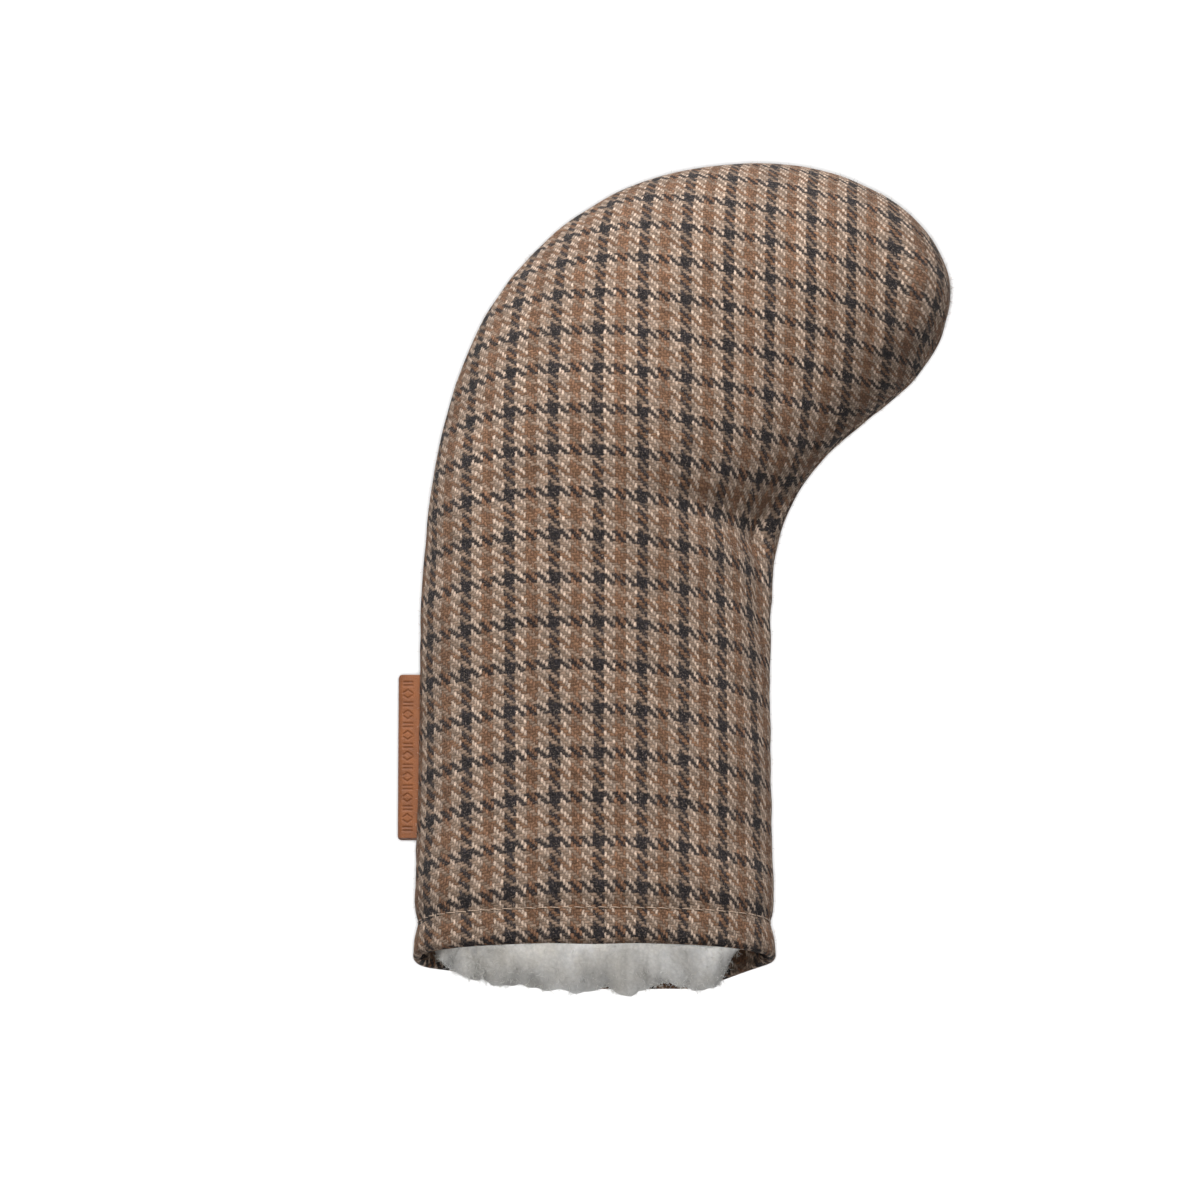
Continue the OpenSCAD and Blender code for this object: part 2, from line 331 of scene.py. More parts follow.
# each swelling or hollow of the front: its middle, half-widths across and along, and height
HOLLOW_AT_BEND = (49.0, 124.0, 21, (34, 12), -4.6)  # wide below its middle, narrow above it
CREST_OF_TOE = (16.0, 149.0, 36, (22, 22), 3.2)
FLAT_SHOULDER = (-14.0, 209.0, 22, (20, 20), -1.7)


def dents(x, y):
    """The soft fold at the inner bend and the broad shapes of the front, in mm out of the plain outline."""
    length = norm(FOLD_END - FOLD_START)
    way = (FOLD_END - FOLD_START) / length
    reach = (x - FOLD_START[0]) * way[0] + (y - FOLD_START[1]) * way[1]
    off = -(x - FOLD_START[0]) * way[1] + (y - FOLD_START[1]) * way[0]
    there = step_between(-14, 8, reach) * (1 - step_between(length - 2, length + 14, reach))
    total = there * (-2.2 * hump(off, 5.5) + 0.7 * hump(off + 11, 8))
    for mid_x, mid_y, across, (below, above), height in (HOLLOW_AT_BEND, CREST_OF_TOE, FLAT_SHOULDER):
        upward = np.where(y > mid_y, above, below)
        total = total + height * hump(x - mid_x, across) * hump(y - mid_y, upward)
    return total


def settle(points, stations, turns, side):
    """How far the cloth stands out of the plain outline at each point of a grid, in mm."""
    from_seam = seam_distance(points)
    x, y = points[..., 0], points[..., 1]
    sway = 0.45 * noise(points, 22) + 0.16 * noise(points, 9, 5.0)
    sway *= step_between(0, 12, from_seam) * step_between(8, 24, y)
    puckers = 0.22 * noise(points * [1, 1, 0.3], 5.5, 9.0) * hump(from_seam - 3, 5)
    before_tip = (1 - step_between(*WRINKLES_FADE, stations))[:, None]
    groove = -0.5 * hump(from_seam, 1.5) * before_tip
    needle_holes = 0.5 + 0.5 * np.cos(math.tau * run_along(points) / STITCH_PITCH)
    dimples = -0.28 * needle_holes * hump(y - STITCH_ROW, 1.1)
    folded = resample(wrinkles[0 if side > 0 else 1], COARSE_ROWS, COARSE_TURNS, stations, turns)
    out = sway + puckers + groove + dimples + folded * before_tip
    if side > 0:
        over_hem = 1.3 * hump(y - 15, 10) * step_between(4, 20, from_seam)
        out = out + dents(x, y) * step_between(-1, 9, from_seam) + over_hem
    return out


LOWEST_DROOP = 4.2


def droop(points):
    """How far the back panel hangs below its CAD rim: most in the middle of the mouth, nothing 30 mm up."""
    x, y = points[..., 0], points[..., 1]
    in_middle = step_between(-44, 0, x) * (1 - step_between(26, 48, x))
    return LOWEST_DROOP * in_middle * (1 - step_between(0, 30, y))


# ---------------------------------------------------------------- tweed panels

THREAD = 12.5 / 16  # mm from one yarn to the next
BACK_SHIFT = (5.0, -1.0)  # yarns by which the back's check is moved, so that a dark stripe is on its rim
TOE_MIDDLE = np.array([62.0, 192.0])
TOE_RADIUS = 41.0
TOE_RING = (2.2, 2.6)  # stations of the cloth that the weave of the toe's end is fitted to
TOE_BLEND = (2.2, 2.72)
FOLD_RADIUS = 1.3
HEM_TURN = 12.5
TURNS = np.linspace(0, 180, 161)


def carried_to_toe(points, threads, stations):
    """Near the end of the toe the rows shrink to a point, so there the weave is that of a dome pressed flat
    about its middle, fitted to the cloth around it."""
    away = points[..., :2] - TOE_MIDDLE
    height = abs(points[..., 2] - SEAM_HEIGHT)
    tilt = np.arctan2(norm(away, axis=2) / TOE_RADIUS, height / height.max())
    table = np.linspace(0, math.pi / 2, 200)
    pace = np.hypot(TOE_RADIUS * np.cos(table), height.max() * np.sin(table)) * (table[1] - table[0])
    gone = np.interp(tilt, table, np.cumsum(pace) - pace / 2)
    spread = away / (norm(away, axis=2, keepdims=True) + 1e-9) * gone[..., None]
    full = np.concatenate([spread, np.ones(points.shape[:2] + (1,))], axis=2)
    ring = (stations > TOE_RING[0]) & (stations < TOE_RING[1])
    fit = np.linalg.lstsq(full[ring].reshape(-1, 3), threads[ring].reshape(-1, 2), rcond=None)[0]
    share = step_between(*TOE_BLEND, stations)[:, None, None]
    return threads * (1 - share) + (full @ fit) * share


def fabric_threads(points, stations):
    """Yarn counts across and along a panel: the cut lies flat in plan, and what the dome adds is taken up by
    the weave, row by row and column by column. The last terms bow and skew the check as in the photo."""
    step = np.diff(points, axis=1)
    spare = running(norm(step, axis=2) - norm(step[..., :2], axis=2), 1)
    spare -= spare[:, [points.shape[1] // 2]]
    row_way = points[:, -1, :2] - points[:, 0, :2]
    row_way /= norm(row_way, axis=1, keepdims=True)
    step = np.diff(points, axis=0)
    plan = norm(step[..., :2], axis=2)
    extra = running(((norm(step, axis=2) - plan) / (plan + 1e-9))[..., None] * step[..., :2], 0)
    u0, v0 = np.moveaxis(points[..., :2] + spare[..., None] * row_way[:, None] + extra, -1, 0)
    x, y = points[..., 0] / 50, (points[..., 1] - 97) / 100
    swell = hump(points[..., 0] - 70, 35) * hump(points[..., 1] - 157, 40)
    u = 1.01 * u0 + 2.1 * x * x - 1.2 * x * y - 1.2
    v = 1.015 * v0 + 2.3 * x + 5.3 * x * x + 3.25 * y * y + 3.3 * x * y - 68.25 - 2.3 * swell
    threads = np.dstack([u, v]) / THREAD
    return carried_to_toe(points, threads, stations)


def tweed_panel(name, side):
    """One panel: hem turned in at the rim, face up to the toe, seam allowances turned in along both edges."""
    first = station_at(FOLD_RADIUS)
    face_rows = even_stations(first, 1.0)
    plain = skin(face_rows, TURNS, side)
    out = settle(plain, face_rows, TURNS, side)
    face = plain + out[..., None] * outward(plain, side)
    threads = fabric_threads(plain, face_rows)

    hem_y = np.r_[np.linspace(HEM_TURN, FOLD_RADIUS + 0.8, 12), np.full(1, FOLD_RADIUS)]
    hem = skin(station_at(hem_y), TURNS, side, 2 * FOLD_RADIUS)
    bend = np.radians(np.linspace(165, 15, 9))
    fold_stations = station_at(FOLD_RADIUS * (1 - np.sin(bend)))
    fold = skin(fold_stations, TURNS, side, FOLD_RADIUS * (1 - np.cos(bend)))
    turned = np.concatenate([hem, fold])
    rim_sway = 0.35 * noise(fold[-1:] * [1, 0, 1], 14, 3.0)
    turned[..., 1] += rim_sway * hump(turned[..., 1], 9)
    face[..., 1] += rim_sway * hump(face[..., 1], 5)
    if side < 0:
        turned[..., 1] -= droop(turned)
        face[..., 1] -= droop(face)
    points = np.concatenate([turned, face])
    steps = norm(np.diff(points[: len(turned) + 1], axis=0), axis=2)
    turned_threads = np.repeat(threads[:1], len(turned), axis=0)
    turned_threads[..., 1] -= steps[::-1].cumsum(axis=0)[::-1] / THREAD
    threads = np.concatenate([turned_threads, threads])

    stations = np.r_[station_at(hem_y), fold_stations, face_rows]
    tucked = []
    for curve, column, sign in ((LEFT_EDGE, 0, 1), (RIGHT_EDGE, -1, -1)):
        _, way = along(curve, np.minimum(stations, LAST_STATION))
        inward = sign * np.c_[way[:, 1], -way[:, 0], np.zeros(len(way))]
        near_toe = 1 - step_between(2.9, LAST_STATION, stations)
        for reach in (0.8, 2.2):
            strip = points[:, column] + (reach * near_toe)[:, None] * inward
            strip[:, 2] = SEAM_HEIGHT + side * 0.12
            strip_threads = threads[:, column] + [-sign * reach / THREAD, 0]
            tucked.append((strip[:, None], strip_threads[:, None]))
    columns = [tucked[1], tucked[0], (points, threads), *tucked[2:]]
    points, threads = (np.concatenate(parts, axis=1) for parts in zip(*columns))
    if side < 0:
        threads = threads * [-1, 1] + BACK_SHIFT
        points[..., 2] = np.maximum(points[..., 2], 0.0)
    faces = grid_faces(*points.shape[:2], side < 0)
    made = mesh_object(name, points, faces, threads.reshape(-1, 2))
    surface = {"points": face, "normals": outward(face, side), "stations": face_rows, "side": side}
    return made, surface


def on_panel(surface, station, turn, lift):
    """Points on a tweed panel's finished face, lift mm proud of it."""
    rows = np.interp(station, surface["stations"], np.arange(len(surface["stations"])))
    cols = np.interp(turn, TURNS, np.arange(len(TURNS)))
    i = np.clip(rows.astype(int), 0, len(surface["stations"]) - 2)
    j = np.clip(cols.astype(int), 0, len(TURNS) - 2)
    u, v = (rows - i)[..., None], (cols - j)[..., None]

    def read(field):
        near = field[i, j] * (1 - v) + field[i, j + 1] * v
        far = field[i + 1, j] * (1 - v) + field[i + 1, j + 1] * v
        return near * (1 - u) + far * u

    return read(surface["points"]) + np.asarray(lift)[..., None] * read(surface["normals"])


# ---------------------------------------------------------------- layers under the tweed


def wadding_pad(name, side):
    """A thin pad between tweed and lining: two faces joined all round, thinned towards its edges."""
    stations = even_stations(station_at(14.0), 3.2)
    turns = np.linspace(0, 180, 61)
    clear = slice(2, -2)  # the pad stops short of the seam on both sides
    plain = skin(stations, turns, side)
    n = outward(plain, side)
    out = np.minimum(settle(plain, stations, turns, side), 0.0) - 0.15
    layers = []
    for depth, soft in ((TWEED_DEPTH + 0.1, 0.1), (LINING_DEPTH - 0.1, -0.1)):
        layer = skin(stations, turns, side, depth) + (out + soft * noise(plain, 6, depth))[..., None] * n
        layers.append(layer[:, clear])
    middle = (layers[0] + layers[1]) / 2
    plain = plain[:, clear]
    edge = seam_distance(plain)
    thin = step_between(-1, 6, np.minimum(edge, plain[..., 1] - 12))[..., None]
    outer, inner = (middle + (layer - middle) * thin for layer in layers)
    rows, cols = outer.shape[:2]
    index = np.arange(rows * cols).reshape(rows, cols)
    ring = np.r_[index[0, :-1], index[:-1, -1], index[-1, :0:-1], index[:0:-1, 0]]
    wall = [(a, b, b + rows * cols, a + rows * cols) for a, b in zip(np.roll(ring, -1), ring)]
    faces = [
        *quads_of(index, side < 0),
        *quads_of(index + rows * cols, side > 0),
        *(w if side > 0 else w[::-1] for w in wall),
    ]
    return mesh_object(name, np.stack([outer, inner]), faces)


def puffs(points, size, shift):
    """Rounded lumps with creases between them, from 0 to about 1."""
    first = abs(noise(points, size, shift))
    second = abs(noise(points, size * 0.47, shift + 4.3))
    return np.sqrt(first) * 0.75 + np.sqrt(second) * 0.3


PILE_SPILL = 1.1  # how far the pile reaches over the back rim
BACKING_GAP = 0.3
LIP_ROWS = (9.0, 14.0, 20.0)  # the pile's backing runs on behind the hem through these heights


def pile_lining(name, side):
    """The pile as it faces the cavity, rounded over at the rim, with a lip of its backing behind the hem."""
    turns = np.linspace(0, 180, 141)
    full = np.sin(np.radians(turns)) ** 0.35
    across = SLEEVE_HALF * (1 - np.cos(np.radians(turns)))
    end_y = np.full(len(turns), LINING_RECESS)
    if side < 0:
        wobble = noise(np.c_[turns * 0.55, np.zeros((len(turns), 2))], 5.0, 2.0)
        end_y = LINING_RECESS - (LINING_RECESS + PILE_SPILL + 0.9 * wobble) * full
        end_y = end_y - droop(np.c_[across - SLEEVE_HALF, np.zeros(len(turns))])
    left_corner = 6.0 * (1 - step_between(0.5, 8, across))
    right_corner = 9.0 * (1 - step_between(4.5, 14, 2 * SLEEVE_HALF - across))
    thick = (PILE_DEPTH - LINING_DEPTH - BACKING_GAP) / 2
    middle = LINING_DEPTH + BACKING_GAP + thick
    deep_rows = even_stations(station_at(LINING_RECESS + thick + 1.0), 1.15)[::-1]
    rows = [skin(deep_rows, turns, side, PILE_DEPTH)]
    bend = np.radians(np.linspace(0, 180, 15))
    for angle in bend:
        line = skin([station_at(LINING_RECESS + thick)], turns, side, middle + thick * math.cos(angle))
        line[..., 1] = end_y + thick * (1 - math.sin(angle)) * 0.9
        rows.append(line)
    for y in LIP_ROWS:
        rows.append(skin([station_at(y)], turns, side, LINING_DEPTH + BACKING_GAP))
    points = np.concatenate(rows)
    points[..., 1] += (left_corner + right_corner) * (1 - step_between(4, 34, points[..., 1]))
    points[..., 0] *= 1.05 - 0.05 * step_between(4, 30, points[..., 1])
    deep, lip = len(deep_rows), len(LIP_ROWS)
    facing = np.r_[np.ones(deep), np.clip(1.45 - 1.45 * bend / math.pi, 0, 1), np.zeros(lip)][:, None]
    into = outward(points, side)  # these rows run down from the toe, so this points into the cavity
    big, small = puffs(points, 9.0, 1.0 + side), puffs(points, 3.4, 2.0)
    fine = 0.12 * noise(points, 1.3, 7.0)
    from_seam = seam_distance(points)
    lumps = blurred(4.2 * big + 1.6 * small - 2.8, 1) + fine
    lumps = lumps * step_between(0, 5, from_seam) * facing
    lumps = np.where(points[..., 1] > 25, np.maximum(lumps, -0.6), lumps)
    sunk = np.minimum(dents(points[..., 0], points[..., 1]), 0) * step_between(-5, 3, from_seam) * (side > 0)
    points = points + (lumps - sunk)[..., None] * into
    rim = slice(deep, deep + len(bend))
    curl = blurred(puffs(points[rim] * [1, 0.6, 0.6], 8.5, 6.0), 2) * np.sin(bend)[:, None] * full[None]
    points[rim, :, 1] -= (4.6 if side < 0 else 0.6) * (curl - 0.35)
    points[..., 2] = np.maximum(points[..., 2], 0.6)
    points[:, [0, -1], 2] = SEAM_HEIGHT + side * 0.05
    # painted shade: the pile darker round its rolled bend and towards its end
    wrapped = np.r_[np.zeros(deep), np.sin(bend / 2), np.ones(lip)][:, None]
    near_end = 1 - step_between(-3 if side < 0 else 0, 8, points[..., 1])
    # painted shade in the creases between lumps and painted light on their tops
    marks = {"LumpShade": np.clip(1.6 * big + 0.6 * small - 0.7, 0, 1), "FringeShade": 0.62 * near_end + 0.6 * wrapped}
    faces = grid_faces(*points.shape[:2], side < 0)
    made = mesh_object(name, points, faces, marks=marks)
    seen = slice(deep - 14, deep + len(bend))
    return made, {"points": points[seen], "normals": into[seen]}


# ---------------------------------------------------------------- threads and fibres


def tubes(paths, radii, sides, cap=True):
    """Points, faces and maps (mm along, turn about) of many thin tubes. paths is (tubes, points, 3)."""
    paths = np.asarray(paths, float)
    count, length = paths.shape[:2]
    way = np.gradient(paths, axis=1)
    way /= norm(way, axis=2, keepdims=True) + 1e-9
    guide = np.where(abs(way[..., 2:]) > 0.9, [1.0, 0.0, 0.0], [0.0, 0.0, 1.0])
    a = np.cross(way, guide)
    a /= norm(a, axis=2, keepdims=True) + 1e-9
    b = np.cross(way, a)
    turn = np.linspace(0, 2 * math.pi, sides, endpoint=False)
    radii = np.broadcast_to(radii, (count, length))[..., None, None]
    ring = (np.cos(turn)[:, None] * a[:, :, None] + np.sin(turn)[:, None] * b[:, :, None]) * radii
    points = paths[:, :, None] + ring
    index = np.arange(count * length * sides).reshape(count, length, sides)
    faces = list(tube_faces(index))
    if cap:
        faces += [*index[:, 0, ::-1], *index[:, -1]]
    uvs = np.c_[np.repeat(run_along(paths).ravel(), sides), np.tile(turn, count * length) / math.tau]
    return points.reshape(-1, 3), faces, uvs


def topstitches(name, surfaces):
    """The row of stitches that holds the hem, round both panels, each sunk at its two ends."""
    knots = 9
    half_hole = 0.25
    slant = np.linspace(0.12, -0.12, knots)
    lift = 0.22 * np.sin(np.linspace(0, math.pi, knots)) ** 0.7 - 0.10
    taper = 0.16 * np.sin(np.linspace(0.35, math.pi - 0.35, knots)) ** 0.4
    station = station_at(STITCH_ROW)
    turns = np.linspace(0, 180, 1200)
    paths = []
    for surface in surfaces:
        run = run_along(on_panel(surface, station, turns, 0.0)[None])[0]
        for start in np.arange(STITCH_PITCH / 2, run[-1] - STITCH_PITCH, STITCH_PITCH):
            spots = np.linspace(start + half_hole, start + STITCH_PITCH - half_hole, knots)
            path = on_panel(surface, station, np.interp(spots, run, turns), lift)
            path[:, 1] += slant
            paths.append(path)
    points, faces, uvs = tubes(paths, taper, 8)
    return mesh_object(name, points, faces, uvs)


SEAM_STITCH_PITCH = 2.6
SEAM_STITCH_SPAN = 1.9
COVER_MIDDLE = np.array([20.0, 120.0])


def seam_stitches(name, first_y, edge_point):
    """A seam's lockstitches from first_y to the toe. edge_point(side, station, turn) is beside the seam."""
    stations = np.linspace(station_at(first_y), 2.97, 1200)[::12]
    t = np.linspace(0, 1, 5)[:, None]
    bow = np.sin(math.pi * t) * 0.12
    paths = []
    for turn in (0.7, 179.3):
        run = run_along(np.array([[edge_point(1, station, turn) for station in stations]]))[0]
        for here in np.arange(1.0, run[-1], SEAM_STITCH_PITCH):
            near, far = np.interp([here, here + SEAM_STITCH_SPAN], run, stations)
            start, end = edge_point(1, near, turn), edge_point(-1, far, turn)
            outside = np.r_[(start[:2] + end[:2]) / 2 - COVER_MIDDLE, 0.0]
            paths.append(start * (1 - t) + end * t + bow * outside / norm(outside))
    points, faces, uvs = tubes(paths, 0.2, 6)
    return mesh_object(name, points, faces, uvs)


def fibres(name, surface_list, count, length, radius, curl, seed, bias):
    """Short loose fibres that stand out of a cloth, each a fine curved hair. length is a range, curl the most
    radians that one turns, and bias(points) the chance that one grows at each point."""
    knots, sides = 6, 3
    rng = np.random.default_rng(seed)
    roots, normals = [], []
    for surface in surface_list:
        pts, nrm = surface["points"], surface["normals"]
        keep = rng.random(pts.shape[:2]) < bias(pts)
        roots.append(pts[keep])
        normals.append(nrm[keep])
    roots, normals = np.concatenate(roots), np.concatenate(normals)
    chosen = rng.choice(len(roots), count)
    root, normal = roots[chosen], normals[chosen]
    root = root + rng.uniform(-0.5, 0.5, (count, 3))
    lean = normal * 0.7 + rng.normal(0, 0.75, (count, 3))
    lean /= norm(lean, axis=1, keepdims=True)
    side_way = np.cross(lean, rng.normal(0, 1, (count, 3)))
    side_way /= norm(side_way, axis=1, keepdims=True)
    size = rng.uniform(length[0], length[1], count)[:, None, None]
    t = np.linspace(-0.15, 1, knots)[None, :, None]
    turn = rng.uniform(0.3, 1.0, count)[:, None, None] * curl
    arc = np.sin(t * turn) / turn * lean[:, None] + (1 - np.cos(t * turn)) / turn * side_way[:, None]
    paths = root[:, None] + size * arc
    paths[..., 2] = np.maximum(paths[..., 2], radius)
    taper = radius * np.linspace(1, 0.35, knots)
    points, faces, _ = tubes(paths, taper, sides, cap=False)
    tint = np.repeat(rng.random(count), knots * sides)
    return mesh_object(name, points, faces, marks={"Tint": tint})


# ---------------------------------------------------------------- the leather tag

TAG_EYE = 0.22  # radius of the hollow inside the fold
TAG_PINCHED = 0.34  # half the two leaves' thickness inside the seam
TAG_CORNER = 1.0
STAMP_PITCH = 3.0
STAMP_DEPTH = 0.28


def leather_tag(name):
    """One folded strip: its ends in the seam, its loop outside, stamped with a row of lozenges and bars."""
    hinge = Vector(frame["joints"][0]["pos_m"])
    edge_x = tag_low.x * 1000 + CENTRE[0]
    hinge_x = hinge.x * 1000 + CENTRE[0]
    half = (tag_high.y - tag_low.y) * 500
    middle_y = (tag_high.y + tag_low.y) * 500 + CENTRE[1]
    thick = (tag_high.z - tag_low.z) * 500
    root_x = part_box("tag_root")[1].x * 1000 + CENTRE[0]
    round_x = edge_x + thick
    straight = np.r_[np.linspace(root_x, hinge_x + 2.4, 6), np.linspace(hinge_x + 2.2, round_x, 56)]
    outer = TAG_PINCHED + (thick - TAG_PINCHED) * step_between(hinge_x + 2.3, hinge_x + 1.1, straight)
    inner = 0.04 + (TAG_EYE - 0.04) * step_between(round_x + 2.2, round_x, straight)
    turn = np.radians(np.linspace(90, -90, 17))[1:-1]
    outline = np.concatenate(
        [
            np.c_[straight, outer],
            np.c_[round_x - thick * np.cos(turn), thick * np.sin(turn)],
            np.c_[straight[::-1], -outer[::-1]],
            np.c_[straight, -inner],
            np.c_[round_x - TAG_EYE * np.cos(turn[::-1]), TAG_EYE * np.sin(turn[::-1])],
            np.c_[straight[::-1], inner[::-1]],
        ]
    )
    run = np.linspace(-1, 1, 260)
    back = np.clip(TAG_CORNER - (outline[:, 0] - edge_x), 0, TAG_CORNER)
    reach = half - (TAG_CORNER - np.sqrt(np.maximum(TAG_CORNER**2 - back**2, 0)))
    x = np.repeat(outline[None, :, 0], len(run), axis=0)
    z = np.repeat(outline[None, :, 1], len(run), axis=0)
    y = run[:, None] * reach[None]
    off_middle = abs(x - (edge_x + hinge_x) / 2 - 0.25)
    off_cell = abs((y / STAMP_PITCH + 0.5) % 1 - 0.5) * STAMP_PITCH
    lozenge = hump(off_cell + off_middle * 0.72 - 1.25, 0.26)
    bars = hump(off_cell - 0.5, 0.24) * step_between(1.75, 1.5, off_middle)
    pressed = np.where(np.floor(y / STAMP_PITCH + 0.5) % 2 == 0, lozenge, bars)
    inside = step_between(half - 1.4, half - 2.0, abs(y)) * (x > edge_x + 0.9)
    leaf = np.zeros(len(outline), bool)
    leaf[: len(straight)] = True
    leaf[len(straight) + len(turn) : 2 * len(straight) + len(turn)] = True
    pressed = pressed * inside * leaf * step_between(hinge_x - 0.4, hinge_x - 1.0, x)
    sway = 0.10 * noise(np.dstack([x, y, z]), 6.0, 1.7) * step_between(hinge_x - 0.3, hinge_x - 2.5, x)
    z = z + sway - np.sign(z) * pressed * STAMP_DEPTH
    # darker along the cut edges, with painted shade along the fold's outer curve
    rim = step_between(half - 0.9, half - 0.1, abs(y)) + hump(x - edge_x, 0.5)
    points = np.dstack([x, y + middle_y, z + SEAM_HEIGHT])
    index = np.arange(x.size).reshape(x.shape)
    faces = list(tube_faces(index)[:, ::-1])
    outer_ends, inner_ends = np.split(index[[0, -1]], 2, axis=1)
    for outer_end, inner_end, flip in zip(outer_ends, inner_ends[:, ::-1], (False, True)):
        faces += [*quads_of(np.stack([outer_end, inner_end]), flip)]
    marks = {"Pressed": pressed, "DarkEdgeAndFoldShade": np.clip(rim, 0, 1)}
    made = mesh_object(name, points, faces, marks=marks)
    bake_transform(made)
    return made


# ---------------------------------------------------------------- materials


class Shader:
    """A material's node tree, written from its surface shader backwards."""

    def __init__(self, name, roughness, **constants):
        self.material = bpy.data.materials.new(name)
        self.material.use_nodes = True
        self.tree = self.material.node_tree
        self.surface = self.tree.nodes["Principled BSDF"]
        self.surface.inputs["Roughness"].default_value = roughness
        for key, value in constants.items():
            self.surface.inputs[key.replace("_", " ")].default_value = value

    def node(self, kind, inputs=None, **settings):
        made = self.tree.nodes.new(kind)
        for key, value in settings.items():
            setattr(made, key, value)
        for key, value in (inputs or {}).items():
            self.feed(made.inputs[key], value)
        return made

    def feed(self, socket, value):
        if isinstance(value, bpy.types.NodeSocket):
            self.tree.links.new(value, socket)
        else:
            socket.default_value = value

    def math(self, operation, *values):
        made = self.node("ShaderNodeMath", operation=operation)
        for socket, value in zip(made.inputs, values):
            self.feed(socket, value)
        return made.outputs[0]

    def times(self, a, b):
        return self.math("MULTIPLY", a, b)

    def plus(self, a, b):
        return self.math("ADD", a, b)

    def vector_math(self, operation, *values):
        return self.node("ShaderNodeVectorMath", dict(enumerate(values)), operation=operation).outputs[0]

    def mix(self, amount, a, b):
        made = self.node("ShaderNodeMix", data_type="RGBA")
        for key, value in (("Factor_Float", amount), ("A_Color", a), ("B_Color", b)):
            socket = next(s for s in made.inputs if s.identifier == key)
            self.feed(socket, (*value, 1.0) if isinstance(value, tuple) else value)
        return next(s for s in made.outputs if s.identifier == "Result_Color")

    def scaled(self, colour, amount):
        made = self.node("ShaderNodeVectorMath", operation="SCALE")
        self.feed(made.inputs[0], colour)
        self.feed(made.inputs["Scale"], amount)
        return made.outputs[0]

    def noise(self, vector, scale, detail=2.0, roughness=0.5, output="Fac"):
        inputs = {"Vector": vector, "Scale": scale, "Detail": detail, "Roughness": roughness}
        return self.node("ShaderNodeTexNoise", inputs).outputs[output]

    def cells(self, vector, scale, feature="F1"):
        inputs = {"Vector": vector, "Scale": scale}
        return self.node("ShaderNodeTexVoronoi", inputs, feature=feature).outputs["Distance"]

    def dice(self, dimensions, inputs):
        return self.node("ShaderNodeTexWhiteNoise", inputs, noise_dimensions=dimensions).outputs["Value"]

    def vector(self, x, y, z=0.0):
        return self.node("ShaderNodeCombineXYZ", {"X": x, "Y": y, "Z": z}).outputs[0]

    def spread(self, value, low, high):
        """A number from 0 to 1, carried over to low to high."""
        return self.math("MULTIPLY_ADD", value, high - low, low)

    def place(self):
        return self.node("ShaderNodeTexCoord").outputs["Object"]

    def mark(self, name):
        return self.node("ShaderNodeAttribute", attribute_name=name).outputs["Fac"]

    def bump(self, height, distance, strength=1.0, normal=None):
        made = self.node("ShaderNodeBump", {"Height": height, "Distance": distance, "Strength": strength})
        if normal is not None:
            self.feed(made.inputs["Normal"], normal)
        return made.outputs[0]

    def finish(self, colour, normal, roughness=None):
        self.feed(self.surface.inputs["Base Color"], colour)
        self.feed(self.surface.inputs["Normal"], normal)
        if roughness is not None:
            self.feed(self.surface.inputs["Roughness"], roughness)
        return self.material


# dark, light and brown yarns, as linear colours; the weft is spun from duller wool than the warp
WARP_YARNS = ((0.019, 0.016, 0.018), (0.405, 0.303, 0.234), (0.172, 0.088, 0.050))
WEFT_YARNS = ((0.018, 0.015, 0.016), (0.240, 0.164, 0.116), (0.180, 0.094, 0.052))


